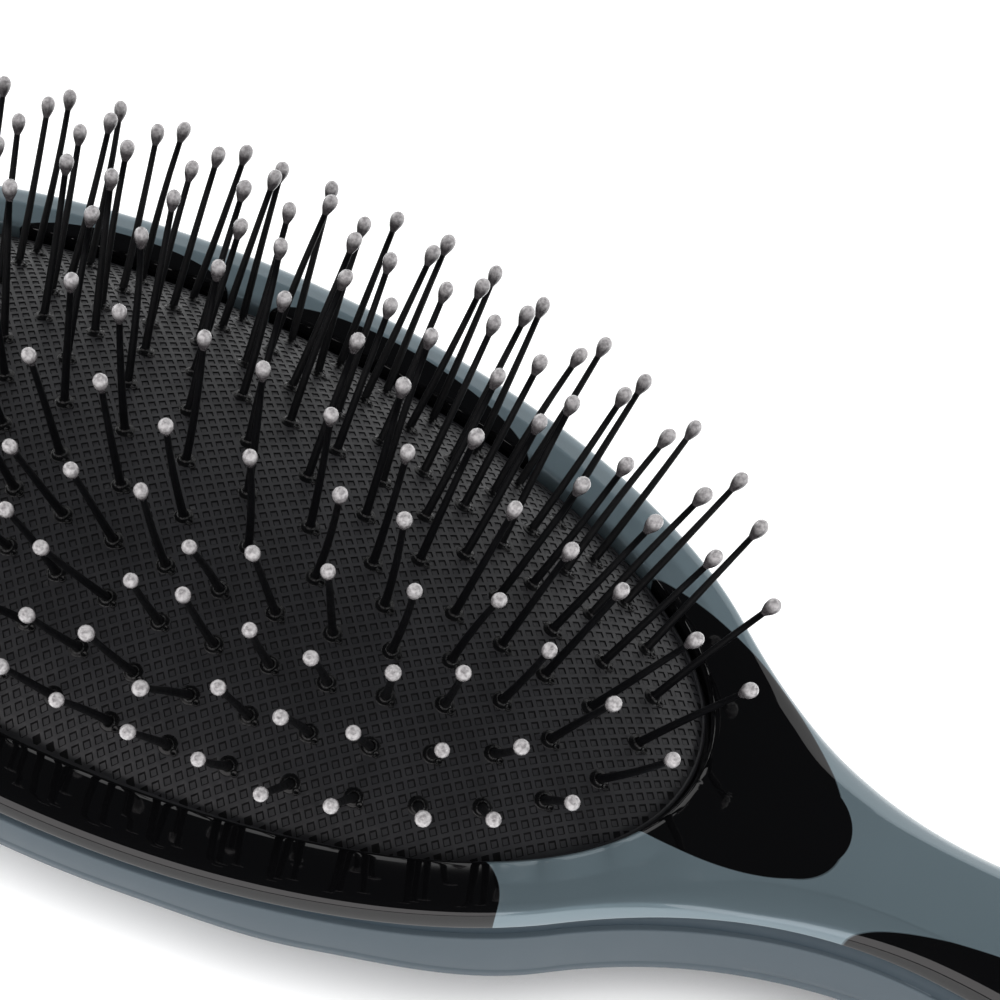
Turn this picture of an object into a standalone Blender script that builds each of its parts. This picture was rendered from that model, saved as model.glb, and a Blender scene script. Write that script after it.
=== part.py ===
"""Paddle brush: an oval head with a domed rubber cushion of ball-tipped nylon pins, and a slim handle.

Metres, +Z up. The brush lies on its back with the pins pointing up and the handle along +X. The origin is
under the middle of the whole brush, on the surface it lies on. Shapes are worked out in millimetres around
the centre of the cushion and moved to that origin as their meshes are made.
"""

import math

import bmesh
import bpy
from mathutils import Vector

MM = 0.001

# Overall sizes
LENGTH = 225.0  # nose of the head to the end of the handle
HEAD_HALF_LENGTH = 64.3
HEAD_HALF_WIDTH = 35.5
RIM_Z = 13.0  # height of the cushion's visible edge over the table
GAP = 0.3  # clearance between neighbouring pieces

# Cushion
PAD_HALF_LENGTH = 57.4
PAD_HALF_WIDTH = 28.5
PAD_SQUARENESS = 2.06  # exponent of the superellipse, 2 is a plain ellipse
DOME_HEIGHT = 9.9
DOME_ROUND = 0.81  # share of the dome's drop that grows with the square of the radius
PAD_THICKNESS = 2.1
FLANGE_REACH = 2.2
FLANGE_THICKNESS = 1.0
FLANGE_DROP = 1.5  # from the visible edge down to the flange
PAD_SIDES = 40

# Pins: rings from the inside out, with their half length, half width and number of pins
RINGS = ((31.6, 5.6, 20), (36.6, 10.8, 30), (41.1, 15.7, 36), (45.9, 20.4, 40), (50.9, 24.5, 44))
TIGHT_GAPS = (2, 2, 2, 3, 3)  # gaps from each sharp end whose strip needs a bend between pins
CENTRE_PINS = 8
CENTRE_HALF_LENGTH = 23.1
PATTERN_X = 1.0  # the whole layout sits this far towards the handle
PIN_LENGTH = 15.7  # cushion surface to the middle of the ball tip
PIN_RADIUS = 0.42
TIP_RADIUS = 0.76
TIP_HALF_LENGTH = 1.05
PIN_SIDES = 4
STRIP_WIDTH = 1.2
STRIP_HEIGHT = 0.8
GROOVE_DEPTH = STRIP_HEIGHT + GAP
GROOVE_RISE = 1.5  # how far a groove's cutter stands over the cushion

# Shells
HANDLE_END = LENGTH - HEAD_HALF_LENGTH
NECK_START, NECK_END, NECK_HALF_WIDTH = 54.0, 84.0, 6.9
PALM_X, PALM_HALF_WIDTH = 126.0, 11.8
TAIL_X, TAIL_HALF_WIDTH = 152.0, 8.6
PARTING_Z = -0.4  # from the rim plane, as are the next heights
LIP_Z = 0.5
CREST_Z = 1.5
NECK_CREST_Z = 3.0
RAMP_START, NECK_CREST_X = 62.0, 104.0
PALM_CREST_Z = 5.0
SLOPE_REACH = 3.6  # cushion edge to the crest of the frame
SHOULDER = 1.7  # width of the outer rounding
HANDLE_SHOULDER = 4.6
CREASE = 0.3  # how far the handle's top breaks from level where its rounding starts
WALL = 2.0
BACK_FLAT_Z = -RIM_Z
NECK_BACK_Z = -11.0
SIDE_BANDS = ((20.0, 4.3), (36.0, 5.4), (54.0, 7.6), (75.0, 8.6), (150.0, 7.0))  # upright side along x
BACK_PROFILE = ((1.0, 0.0), (0.93, 0.2), (0.8, 0.5), (0.6, 0.82), (0.4, 1.0), (0.0, 1.0))
RIDGE_START = 66.0  # where the outline leaves the frame round the cushion and becomes the neck's
TAIL_STEPS = 6  # cross-sections round the end of the handle
HANDLE_STEPS = 15  # along the rest of it
HEAD_STEPS = 28  # and round half of the head

ORIGIN_X = (HANDLE_END - HEAD_HALF_LENGTH) / 2


def to_world(x, y, z):
    """A point given in millimetres around the cushion's centre, at the rim plane, as metres from the origin."""
    return Vector(((x - ORIGIN_X) * MM, y * MM, (z + RIM_Z) * MM))


def clear_scene():
    for obj in list(bpy.data.objects):
        bpy.data.objects.remove(obj, do_unlink=True)


def plastic(name, colour, roughness, metallic=0.0):
    """A Principled material of one colour."""
    material = bpy.data.materials.new(name)
    material.use_nodes = True
    shader = material.node_tree.nodes["Principled BSDF"]
    shader.inputs["Base Color"].default_value = (*colour, 1.0)
    shader.inputs["Roughness"].default_value = roughness
    shader.inputs["Metallic"].default_value = metallic
    return material


def object_from(name, bm, material, pivot, parent=None):
    """Makes an object from world-space geometry, with its origin at pivot."""
    bmesh.ops.remove_doubles(bm, verts=bm.verts, dist=1e-6)
    bmesh.ops.triangulate(bm, faces=bm.faces)
    bmesh.ops.recalc_face_normals(bm, faces=bm.faces)
    bmesh.ops.translate(bm, verts=bm.verts, vec=-pivot)
    mesh = bpy.data.meshes.new(name)
    bm.to_mesh(mesh)
    bm.free()
    mesh.materials.append(material)
    mesh.shade_smooth()
    mesh.set_sharp_from_angle(angle=math.radians(40))
    obj = bpy.data.objects.new(name, mesh)
    obj.parent = parent
    obj.location = pivot - parent.location if parent else pivot
    bpy.context.collection.objects.link(obj)
    return obj


def hermite(t, start, start_slope, end, end_slope, span):
    """Smooth curve from start to end over span, with the slopes given."""
    a = 2 * t**3 - 3 * t**2 + 1
    b = t**3 - 2 * t**2 + t
    c = -2 * t**3 + 3 * t**2
    d = t**3 - t**2
    return a * start + b * span * start_slope + c * end + d * span * end_slope


def smooth(t):
    t = min(max(t, 0.0), 1.0)
    return t * t * (3 - 2 * t)


def through(x, knots):
    """Eases through (x, value) knots with a level tangent at each."""
    for (x0, v0), (x1, v1) in zip(knots, knots[1:]):
        if x <= x1:
            return v0 + (v1 - v0) * smooth((x - x0) / (x1 - x0))
    return knots[-1][1]


def superellipse(angle, half_length, half_width, squareness=PAD_SQUARENESS):
    c, s = math.cos(angle), math.sin(angle)
    power = 2 / squareness
    x = math.copysign(half_length * abs(c) ** power, c)
    y = math.copysign(half_width * abs(s) ** power, s)
    return x, y


# The cushion's dome and the pins' layout


def dome_z(x, y):
    """Height of the cushion's surface over the rim plane."""
    s = (x / PAD_HALF_LENGTH) ** 2 + (y / PAD_HALF_WIDTH) ** 2
    return DOME_HEIGHT * (1 - DOME_ROUND * s - (1 - DOME_ROUND) * s * s)


def fan(x, y):
    """Direction of a pin: upright in the middle, splayed outwards towards the edge and most near the ends."""
    u, v = (x - PATTERN_X) / PAD_HALF_LENGTH, y / PAD_HALF_WIDTH
    sideways = (1.14 * v - 0.58 * v**3) * (1 + 0.95 * u * u)
    return Vector((0.24 * u + 0.59 * u**3, sideways, 1.0)).normalized()


def ring_walk(half_length, half_width, distances):
    """Points at the given distances along a ring from its +X end, on the +Y side."""
    fine = [superellipse(math.pi * i / 720, half_length, half_width) for i in range(721)]
    walked, points, i = 0.0, [], 0
    for target in distances:
        while i < 720:
            step = math.dist(fine[i], fine[i + 1])
            if walked + step >= target - 1e-9:
                break
            walked += step
            i += 1
        i_next = min(i + 1, 720)
        step = math.dist(fine[i], fine[i_next])
        share = (target - walked) / step if step else 0.0
        points.append(tuple(a + (b - a) * share for a, b in zip(fine[i], fine[i_next])))
    return points


def half_perimeter(half_length, half_width):
    fine = [superellipse(math.pi * i / 720, half_length, half_width) for i in range(721)]
    return sum(math.dist(a, b) for a, b in zip(fine, fine[1:]))


def ring_stations(number):
    """[(pin number or None, point)] round a ring from its +X end, with a point between pins near its sharp ends."""
    half_length, half_width, count = RINGS[number - 1]
    half, tight = count // 2, TIGHT_GAPS[number - 1]
    pitch = half_perimeter(half_length, half_width) / half
    marks = []
    for i in range(half + 1):
        marks.append((i, pitch * i))
        if i < half and min(i, half - 1 - i) < tight:
            marks.append((None, pitch * (i + 0.5)))
    far = ring_walk(half_length, half_width, [distance for _, distance in marks])
    stations = [(pin, (x + PATTERN_X, y)) for (pin, _), (x, y) in zip(marks, far)]
    for pin, (x, y) in reversed(stations[1:-1]):
        stations.append((None if pin is None else count - pin, (x, -y)))
    return stations


def ring_runs(number):
    """First and last pin of each moulded strip of a ring."""
    count = RINGS[number - 1][2]
    half = count // 2
    if number == 1:
        return {"far": (1, half - 1), "near": (half, count)}
    if number in (2, 3):
        return {
            "far": (3, half - 3),
            "nose": (half - 2, half + 2),
            "near": (half + 3, count - 3),
            "neck": (count - 2, count + 2),
        }
    return {
        "far": (4, half - 4),
        "nose_far": (half - 3, half - 1),
        "nose_near": (half, half + 3),
        "near": (half + 4, count - 4),
        "neck_near": (count - 3, count),
        "neck_far": (1, 3),
    }


def pin_groups():
    """(name, pin points, strip points): the pins of each moulded strip, in order along it."""
    centre = centre_row()
    groups = [("pins_centre", centre, centre)]
    for number in range(1, len(RINGS) + 1):
        count = RINGS[number - 1][2]
        stations = ring_stations(number)
        for side, (first, last) in ring_runs(number).items():
            twice = stations + stations
            start = [pin for pin, _ in twice].index(first % count)
            strip, pins = [], []
            for pin, point in twice[start:]:
                strip.append(point)
                if pin is not None:
                    pins.append(point)
                if len(pins) == last - first + 1:
                    break
            groups.append((f"pins_ring{number}_{side}", pins, strip))
    return groups


def centre_row():
    gap = 2 * CENTRE_HALF_LENGTH / (CENTRE_PINS - 1)
    return [(PATTERN_X + CENTRE_HALF_LENGTH - gap * i, 0.0) for i in range(CENTRE_PINS)]


# Pieces


def loft(bm, loops, close=False):
    """Joins equal-length closed loops of vertices, one after another."""
    pairs = list(zip(loops, loops[1:])) + ([(loops[-1], loops[0])] if close else [])
    for low, high in pairs:
        for i in range(len(low)):
            j = (i + 1) % len(low)
            bm.faces.new((low[i], low[j], high[j], high[i]))


def oval_loop(bm, half_length, half_width, height):
    """Closed loop of vertices on an oval, at a height or on a surface given as a function of x and y."""
    loop = []
    for i in range(PAD_SIDES):
        x, y = superellipse(2 * math.pi * i / PAD_SIDES, half_length, half_width)
        z = height(x, y) if callable(height) else height
        loop.append(bm.verts.new(to_world(x, y, z)))
    return loop


def cushion_pad(material):
    """Domed rubber cushion, open underneath, with a clamped flange and a groove for each ring of pins."""
    bm = bmesh.new()
    flange_bottom = -FLANGE_DROP - FLANGE_THICKNESS
    inside = PAD_THICKNESS

    def underside(x, y):
        return dome_z(x, y) - PAD_THICKNESS

    loops = []
    for share in (0.1, 0.3, 0.5, 0.68, 0.84, 0.94):
        loops.append(oval_loop(bm, PAD_HALF_LENGTH * share, PAD_HALF_WIDTH * share, dome_z))
    for reach, z in (
        (0.0, 0.0),
        (0.0, -FLANGE_DROP),
        (FLANGE_REACH, -FLANGE_DROP),
        (FLANGE_REACH, flange_bottom),
        (-inside, flange_bottom),
    ):
        loops.append(oval_loop(bm, PAD_HALF_LENGTH + reach, PAD_HALF_WIDTH + reach, z))
    for share in (0.9, 0.7, 0.45, 0.1):
        loops.append(oval_loop(bm, PAD_HALF_LENGTH * share, PAD_HALF_WIDTH * share, underside))
    loft(bm, loops)
    bm.faces.new(loops[0])
    bm.faces.new(loops[-1])
    pad = object_from("cushion_pad", bm, material, to_world(0, 0, 0))
    courses = [(centre_row(), False)]
    for number in range(1, len(RINGS) + 1):
        courses.append(([point for _, point in ring_stations(number)], True))
    for number, (points, closed) in enumerate(courses):
        groove = strip_mesh(points, GAP, STRIP_WIDTH / 2 + GAP, GROOVE_RISE, GROOVE_DEPTH, closed)
        cutter = object_from(f"groove_{number}", groove, material, pad.location, pad)
        cutter.hide_render = True
        cutter.display_type = "WIRE"
        cut = pad.modifiers.new(cutter.name, "BOOLEAN")
        cut.operation = "DIFFERENCE"
        cut.solver = "EXACT"
        cut.object = cutter
    return pad


def retaining_ring(material):
    """Flat oval ring under the cushion's flange, which clamps it up against the front shell's lip."""
    bm = bmesh.new()
    top = -FLANGE_DROP - FLANGE_THICKNESS - GAP
    bottom = top - 1.8
    outer = HEAD_HALF_WIDTH - PAD_HALF_WIDTH - WALL - 4 * GAP
    sections = ((-1.5, top), (outer, top), (outer, bottom), (-1.5, bottom))
    loops = [oval_loop(bm, PAD_HALF_LENGTH + reach, PAD_HALF_WIDTH + reach, z) for reach, z in sections]
    loft(bm, loops, close=True)
    return object_from("retaining_ring", bm, material, to_world(0, 0, top))


def strip_mesh(points, beyond, half, rise, depth, closed=False):
    """Bar along points on the dome, from rise over it to depth under it. An open one runs on by beyond."""
    bm = bmesh.new()
    line = [Vector(point) for point in points]
    if not closed:
        line[0] = line[0] + (line[0] - line[1]).normalized() * (STRIP_WIDTH / 2 + beyond)
        line[-1] = line[-1] + (line[-1] - line[-2]).normalized() * (STRIP_WIDTH / 2 + beyond)
    sections = []
    for i, point in enumerate(line):
        if closed:
            before, after = line[i - 1], line[(i + 1) % len(line)]
        else:
            before, after = line[max(i - 1, 0)], line[min(i + 1, len(line) - 1)]
        along = (after - before).normalized()
        side = Vector((-along.y, along.x))
        corners = []
        for offset, lift in ((half, rise), (-half, rise), (-half, -depth), (half, -depth)):
            at = point + side * offset
            corners.append(bm.verts.new(to_world(at.x, at.y, dome_z(at.x, at.y) + lift)))
        sections.append(corners)
    loft(bm, sections, closed)
    if not closed:
        bm.faces.new(sections[0])
        bm.faces.new(sections[-1])
    return bm


def add_pin(bm, x, y):
    """Shaft with a teardrop ball tip, standing along the fan direction with its foot inside the strip."""
    axis = fan(x, y)
    across = axis.cross(Vector((1, 0, 0))).normalized()
    up = axis.cross(across)
    foot = Vector((x, y, dome_z(x, y)))
    outline = (
        (-STRIP_HEIGHT / 2 / axis.z, PIN_RADIUS),
        (PIN_LENGTH - TIP_HALF_LENGTH * 1.3, PIN_RADIUS * 0.85),
        (PIN_LENGTH + TIP_HALF_LENGTH * 0.1, TIP_RADIUS),
        (PIN_LENGTH + TIP_HALF_LENGTH, TIP_RADIUS * 0.4),
    )
    loops = []
    for height, radius in outline:
        loop = []
        for i in range(PIN_SIDES):
            turn = 2 * math.pi * (i + 0.5) / PIN_SIDES
            at = foot + axis * height + (across * math.cos(turn) + up * math.sin(turn)) * radius
            loop.append(bm.verts.new(to_world(*at)))
        loops.append(loop)
    loft(bm, loops)
    bm.faces.new(loops[0])
    bm.faces.new(loops[-1])


def group_pivot(pins):
    """Middle of the feet of a group, where its hinge line along X passes."""
    xs, ys = [p[0] for p in pins], [p[1] for p in pins]
    zs = [dome_z(*p) for p in pins]
    middle = [(min(v) + max(v)) / 2 for v in (xs, ys, zs)]
    return to_world(*middle)


def pin_group(name, pins, strip, material, pad):
    """Pins on their moulded strip, joined into one solid, which rides on the cushion."""
    pivot = group_pivot(pins)
    bar = strip_mesh(strip, 0.0, STRIP_WIDTH / 2, 0.0, STRIP_HEIGHT)
    group = object_from(name, bar, material, pivot, pad)
    bm = bmesh.new()
    for x, y in pins:
        add_pin(bm, x, y)
    shafts = object_from(name + "_shafts", bm, material, pivot, pad)
    shafts.hide_render = True
    shafts.display_type = "WIRE"
    join = group.modifiers.new("join_pins", "BOOLEAN")
    join.operation = "UNION"
    join.solver = "EXACT"
    join.object = shafts
    return group


# Shells


def half_width(x):
    """Half width of the outline at x, in the neck and handle."""
    if x <= NECK_START:
        return HEAD_HALF_WIDTH * math.sqrt(max(1 - (x / HEAD_HALF_LENGTH) ** 2, 0))
    if x < NECK_END:
        start = half_width(NECK_START)
        slope = -HEAD_HALF_WIDTH**2 * NECK_START / (HEAD_HALF_LENGTH**2 * start)
        t = (x - NECK_START) / (NECK_END - NECK_START)
        return hermite(t, start, slope, NECK_HALF_WIDTH, 0.0, NECK_END - NECK_START)
    knots = ((NECK_END, NECK_HALF_WIDTH), (PALM_X, PALM_HALF_WIDTH), (TAIL_X, TAIL_HALF_WIDTH))
    if x < TAIL_X:
        return through(x, knots)
    t = (x - TAIL_X) / (HANDLE_END - TAIL_X)
    return TAIL_HALF_WIDTH * math.sqrt(max(1 - t * t, 0))


def outline_half():
    """Outline points from the end of the handle round by +Y to the nose, evenly spread."""
    fine = []
    for i in range(200):
        turn = math.pi / 2 * i / 199
        x = TAIL_X + (HANDLE_END - TAIL_X) * math.cos(turn)
        fine.append((x, TAIL_HALF_WIDTH * math.sin(turn)))
    for i in range(1, 400):
        x = TAIL_X + (NECK_START - TAIL_X) * i / 399
        fine.append((x, half_width(x)))
    first = math.acos(NECK_START / HEAD_HALF_LENGTH)
    for i in range(1, 400):
        turn = first + (math.pi - first) * i / 399
        fine.append((HEAD_HALF_LENGTH * math.cos(turn), HEAD_HALF_WIDTH * math.sin(turn)))
    return fine


def knee_of(outline):
    """Place in the outline where the neck meets the head."""
    return next(i for i, (x, _) in enumerate(outline) if x < RIDGE_START)


def handle_stations(outline, knee):
    """Outline points for the cross-sections of the handle, closer together round its end."""
    tail = next(i for i, (x, _) in enumerate(outline) if x <= TAIL_X)
    return spread(outline[: tail + 1], TAIL_STEPS) + spread(outline[tail : knee + 1], HANDLE_STEPS)[1:]


def spread(points, count):
    """count + 1 of the points, at even distances along them, ends included."""
    lengths = [0.0]
    for a, b in zip(points, points[1:]):
        lengths.append(lengths[-1] + math.dist(a, b))
    picked, j = [], 0
    for i in range(count + 1):
        target = lengths[-1] * i / count
        while j < len(points) - 1 and lengths[j] < target - 1e-9:
            j += 1
        picked.append(points[j])
    return picked


def pad_side(x, y, reach=0.0):
    """Point of the cushion's edge, moved out by reach, that faces an outline point."""
    turn = math.atan2(y * PAD_HALF_LENGTH, x * PAD_HALF_WIDTH)
    return superellipse(turn, PAD_HALF_LENGTH + reach, PAD_HALF_WIDTH + reach)


def crest_z(x):
    """Height of the frame's crest, which becomes the top of the neck and handle."""
    knots = (
        (RAMP_START, CREST_Z),
        (NECK_CREST_X, NECK_CREST_Z),
        (PALM_X, PALM_CREST_Z),
        (HANDLE_END, CREST_Z),
    )
    return CREST_Z if x < RAMP_START else through(x, knots)


def back_z(x):
    """Height of the back shell's centre line."""
    knots = (
        (20.0, BACK_FLAT_Z),
        (NECK_END, NECK_BACK_Z),
        (PALM_X, BACK_FLAT_Z),
        (HANDLE_END, NECK_BACK_Z),
    )
    return BACK_FLAT_Z if x < 20.0 else through(x, knots)


def pad_distance(x, y):
    """Distance from the cushion's edge, measured along a ray from the cushion's centre."""
    n = PAD_SQUARENESS
    r = (abs(x / PAD_HALF_LENGTH) ** n + abs(y / PAD_HALF_WIDTH) ** n) ** (1 / n)
    return math.hypot(x, y) * (1 - 1 / r)


def front_z(x, y, edge):
    """Height of the front shell's outer surface, at a distance edge from the outline."""
    handle = smooth((x - RAMP_START) / (NECK_CREST_X - RAMP_START))
    shoulder = SHOULDER + (HANDLE_SHOULDER - SHOULDER) * handle
    rise = 1 - min(edge / shoulder, 1.0)
    share = math.sqrt(max(1 - rise**2.2, 0)) * (1 - CREASE * handle * rise)
    top = PARTING_Z + (crest_z(x) - PARTING_Z) * share
    inward = (1 - min(max(pad_distance(x, y), 0.0) / SLOPE_REACH, 1.0)) ** 1.5
    return top - (CREST_Z - LIP_Z) * inward


def front_shell(material):
    """Glossy upper half: the convex frame round the cushion, and the top of the neck and handle."""
    bm = bmesh.new()
    outline = outline_half()
    knee = knee_of(outline)
    lip = PAD_HALF_LENGTH + GAP, PAD_HALF_WIDTH + GAP
    lip_line = [superellipse(math.pi * i / 720, *lip) for i in range(721)]
    pairs = []
    for x, y in handle_stations(outline, knee):
        tail = HANDLE_END - TAIL_HALF_WIDTH
        share = (min(x, tail) - RIDGE_START) / (tail - RIDGE_START)
        pairs.append(((x, y), (lip[0] + (tail - lip[0]) * max(share, 0.0), 0.0)))
    pairs += list(zip(spread(outline[knee:], HEAD_STEPS), spread(lip_line, HEAD_STEPS)))[1:]
    sections = []
    for (x, y), (ix, iy) in pairs:
        reach = math.dist((x, y), (ix, iy))
        section = []
        for share in (0.0, 0.3, 0.6, 0.8, 0.93, 1.0):
            px, py = ix + (x - ix) * share, iy + (y - iy) * share
            section.append((px, py, front_z(px, py, reach * (1 - share))))
        inner = 1 - WALL / reach
        wx, wy = ix + (x - ix) * inner, iy + (y - iy) * inner
        section.append((wx, wy, PARTING_Z))
        section.append((wx, wy, front_z(wx, wy, WALL) - 0.6 * WALL))
        section.append((ix, iy, front_z(ix, iy, reach) - WALL + 0.2))
        sections.append(section)
    half_shell(bm, sections, TAIL_STEPS + HANDLE_STEPS, len(sections[0]) - 1)
    return object_from("front_shell", bm, material, to_world(0, 0, PARTING_Z))


def half_shell(bm, sections, open_steps, open_side):
    """Skins the cross-sections on both sides of the XZ plane.

    The first open_steps steps leave out one side of the section, where the two halves meet in the middle.
    """
    count = len(sections[0])
    for mirror in (1, -1):
        rows = []
        for section in sections:
            rows.append([bm.verts.new(to_world(x, y * mirror, z)) for x, y, z in section])
        for step, (row, following) in enumerate(zip(rows, rows[1:])):
            for i in range(count):
                j = (i + 1) % count
                if i == open_side and step < open_steps:
                    continue
                bm.faces.new((row[i], following[i], following[j], row[j]))
    bmesh.ops.remove_doubles(bm, verts=bm.verts, dist=1e-6)
    bmesh.ops.dissolve_degenerate(bm, edges=bm.edges, dist=1e-6)


def back_inner(x):
    """Centre-line point that a cross-section of the back shell runs to from the outline at x."""
    head = (HEAD_HALF_LENGTH**2 - HEAD_HALF_WIDTH**2) / HEAD_HALF_LENGTH**2
    if x < NECK_START:
        return x * head
    last = HANDLE_END - TAIL_HALF_WIDTH
    start = NECK_START * head
    share = (min(x, HANDLE_END) - NECK_START) / (HANDLE_END - NECK_START)
    return start + (last - start) * share


def back_shell(material):
    """Satin lower half: an upright side band that turns under into a rounded back with a flat to lie on."""
    bm = bmesh.new()
    top = PARTING_Z - GAP
    sections = []
    outline = outline_half()
    knee = knee_of(outline)
    for x, y in handle_stations(outline, knee) + spread(outline[knee:], HEAD_STEPS)[1:]:
        ix = back_inner(x)
        reach = math.dist((x, y), (ix, 0.0))
        bottom = back_z(ix)
        band = top - through(x, SIDE_BANDS) * min(1.0, (top - bottom) / (top - BACK_FLAT_Z))
        outer = [(x, y, top)]
        for share, fall in BACK_PROFILE:
            outer.append((ix + (x - ix) * share, y * share, band + (bottom - band) * fall))
        inner = []
        for share, fall in reversed(BACK_PROFILE):
            share *= 1 - WALL / reach
            z = band + (bottom + WALL - band) * fall
            inner.append((ix + (x - ix) * share, y * share, z))
        share = 1 - WALL / reach
        inner.append((ix + (x - ix) * share, y * share, top))
        sections.append(outer + inner)
    half_shell(bm, sections, len(sections), len(BACK_PROFILE))
    return object_from("back_shell", bm, material, to_world(0, 0, PARTING_Z))


def main():
    clear_scene()
    gloss_grey = plastic("gloss_grey", (0.16, 0.2, 0.22), 0.12)
    satin_grey = plastic("satin_grey", (0.16, 0.2, 0.23), 0.35)
    rubber = plastic("rubber", (0.035, 0.035, 0.038), 0.6)
    nylon = plastic("nylon", (0.012, 0.012, 0.013), 0.3)
    hidden = plastic("hidden_plastic", (0.05, 0.05, 0.055), 0.5)
    back_shell(satin_grey)
    front_shell(gloss_grey)
    retaining_ring(hidden)
    pad = cushion_pad(rubber)
    for name, pins, strip in pin_groups():
        pin_group(name, pins, strip, nylon, pad)


main()
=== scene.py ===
"""Paddle brush: fine shells, embossed cushion, ball-tipped pins, materials, studio and camera.

Shapes are worked out in millimetres round the centre of the cushion, with its visible edge at height 0, and
`world` turns them into metres in the frame of the part. Lights and materials are in metres.
"""

import math

import bmesh
import bpy
import numpy as np
from mathutils import Matrix, Vector

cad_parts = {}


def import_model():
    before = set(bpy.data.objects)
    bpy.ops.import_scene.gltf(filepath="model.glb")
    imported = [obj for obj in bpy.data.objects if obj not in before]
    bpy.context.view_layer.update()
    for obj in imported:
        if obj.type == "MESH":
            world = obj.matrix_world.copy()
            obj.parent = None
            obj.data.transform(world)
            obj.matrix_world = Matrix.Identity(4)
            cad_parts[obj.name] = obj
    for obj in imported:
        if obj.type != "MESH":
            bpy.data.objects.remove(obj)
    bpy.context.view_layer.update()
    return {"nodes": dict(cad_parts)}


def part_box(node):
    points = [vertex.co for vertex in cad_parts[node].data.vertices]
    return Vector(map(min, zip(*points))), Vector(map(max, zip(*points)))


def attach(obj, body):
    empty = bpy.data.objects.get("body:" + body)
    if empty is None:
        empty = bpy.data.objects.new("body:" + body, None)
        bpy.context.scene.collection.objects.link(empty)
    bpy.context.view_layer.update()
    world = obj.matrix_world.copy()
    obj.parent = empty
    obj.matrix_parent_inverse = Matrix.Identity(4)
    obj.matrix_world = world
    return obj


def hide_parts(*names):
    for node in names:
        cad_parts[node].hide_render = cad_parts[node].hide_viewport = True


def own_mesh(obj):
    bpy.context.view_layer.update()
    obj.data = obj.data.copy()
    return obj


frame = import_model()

MM = 0.001
RNG = np.random.default_rng(7)

# Clearance between neighbouring pieces, and the heights of the front shell's parting line, lip and crest
GAP = 0.3
PARTING_Z = -0.4
LIP_Z = 0.5
CREST_Z = 1.5
WALL = 2.0

# Datums from the CAD solids
PAD_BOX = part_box("cushion_pad")
BACK_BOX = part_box("back_shell")
PAD_X = (PAD_BOX[0].x + PAD_BOX[1].x) / 2 / MM
RIM_Z = BACK_BOX[1].z / MM + GAP - PARTING_Z
HEAD_HALF_LENGTH = PAD_X - BACK_BOX[0].x / MM
HEAD_HALF_WIDTH = BACK_BOX[1].y / MM
HANDLE_END = BACK_BOX[1].x / MM - PAD_X

# Outline past the head: the neck, the palm swell and the round tail
NECK_START, NECK_END, NECK_HALF_WIDTH = 54.0, 84.0, 6.9
PALM_X, PALM_HALF_WIDTH = 126.0, 11.8
TAIL_X, TAIL_HALF_WIDTH = 152.0, 8.6

# Cushion
PAD_HALF_LENGTH = 57.4
PAD_HALF_WIDTH = 28.5
PAD_SQUARENESS = 2.06
DOME_HEIGHT = 9.9
DOME_ROUND = 0.81
PAD_THICKNESS = 2.1
FLANGE_REACH = 2.2
FLANGE_DROP = 1.5
FLANGE_THICKNESS = 1.0

# Pins: half length, half width and count of each oval ring, and the row along the middle
RINGS = ((31.6, 5.6, 20), (36.6, 10.8, 30), (41.1, 15.7, 36), (45.9, 20.4, 40), (50.9, 24.5, 44))
CENTRE_PINS = 8
CENTRE_HALF_LENGTH = 23.1
PATTERN_X = 1.0
RING_STEPS = 720


# ---------------------------------------------------------------- shared shapes and meshes


def world(points):
    """Millimetres round the cushion's centre to metres in the frame of the part."""
    points = np.asarray(points, float)
    return (points + (PAD_X, 0.0, RIM_Z)) * MM


def new_object(name, points, faces, materials, slots=None):
    mesh = bpy.data.meshes.new(name)
    mesh.from_pydata(world(points).tolist(), [], [tuple(int(i) for i in face) for face in faces])
    for material in materials:
        mesh.materials.append(material)
    if slots is not None:
        mesh.polygons.foreach_set("material_index", np.asarray(slots, np.int32))
    mesh.shade_smooth()
    mesh.validate()
    obj = bpy.data.objects.new(name, mesh)
    bpy.context.scene.collection.objects.link(obj)
    return obj


def welded_object(name, points, faces, materials, angle=50):
    obj = new_object(name, points, faces, materials)
    bm = bmesh.new()
    bm.from_mesh(obj.data)
    bmesh.ops.remove_doubles(bm, verts=bm.verts, dist=2e-6)
    bmesh.ops.dissolve_degenerate(bm, edges=bm.edges, dist=1e-6)
    bmesh.ops.recalc_face_normals(bm, faces=bm.faces)
    bm.to_mesh(obj.data)
    bm.free()
    obj.data.shade_smooth()
    obj.data.set_sharp_from_angle(angle=math.radians(angle))
    return obj


def turned_points(middle, across, up, profile, sides):
    """Rings of points; the profile is a list of ring centres, measured from the middle, and radii."""
    points = []
    for centre, radius in profile:
        for k in range(sides):
            turn = 2 * math.pi * k / sides
            points.append(middle + centre + (across * math.cos(turn) + up * math.sin(turn)) * radius)
    return points


def turned_faces(base, rows, sides):
    """Quads between rings, facing outward where the rings run along across x up."""
    faces = []
    for row in range(rows - 1):
        for k in range(sides):
            m = (k + 1) % sides
            a, b = base + row * sides, base + (row + 1) * sides
            faces.append((a + k, a + m, b + m, b + k))
    return faces


def smooth(t):
    t = min(max(t, 0.0), 1.0)
    return t * t * (3 - 2 * t)


def through(x, knots):
    """A smooth step from knot to knot; the knots are pairs of x and value."""
    for (x0, v0), (x1, v1) in zip(knots, knots[1:]):
        if x <= x1:
            return v0 + (v1 - v0) * smooth((x - x0) / (x1 - x0))
    return knots[-1][1]


def hermite(t, start, start_slope, end, end_slope, span):
    a = 2 * t**3 - 3 * t**2 + 1
    b = t**3 - 2 * t**2 + t
    c = -2 * t**3 + 3 * t**2
    d = t**3 - t**2
    return a * start + b * span * start_slope + c * end + d * span * end_slope


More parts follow.
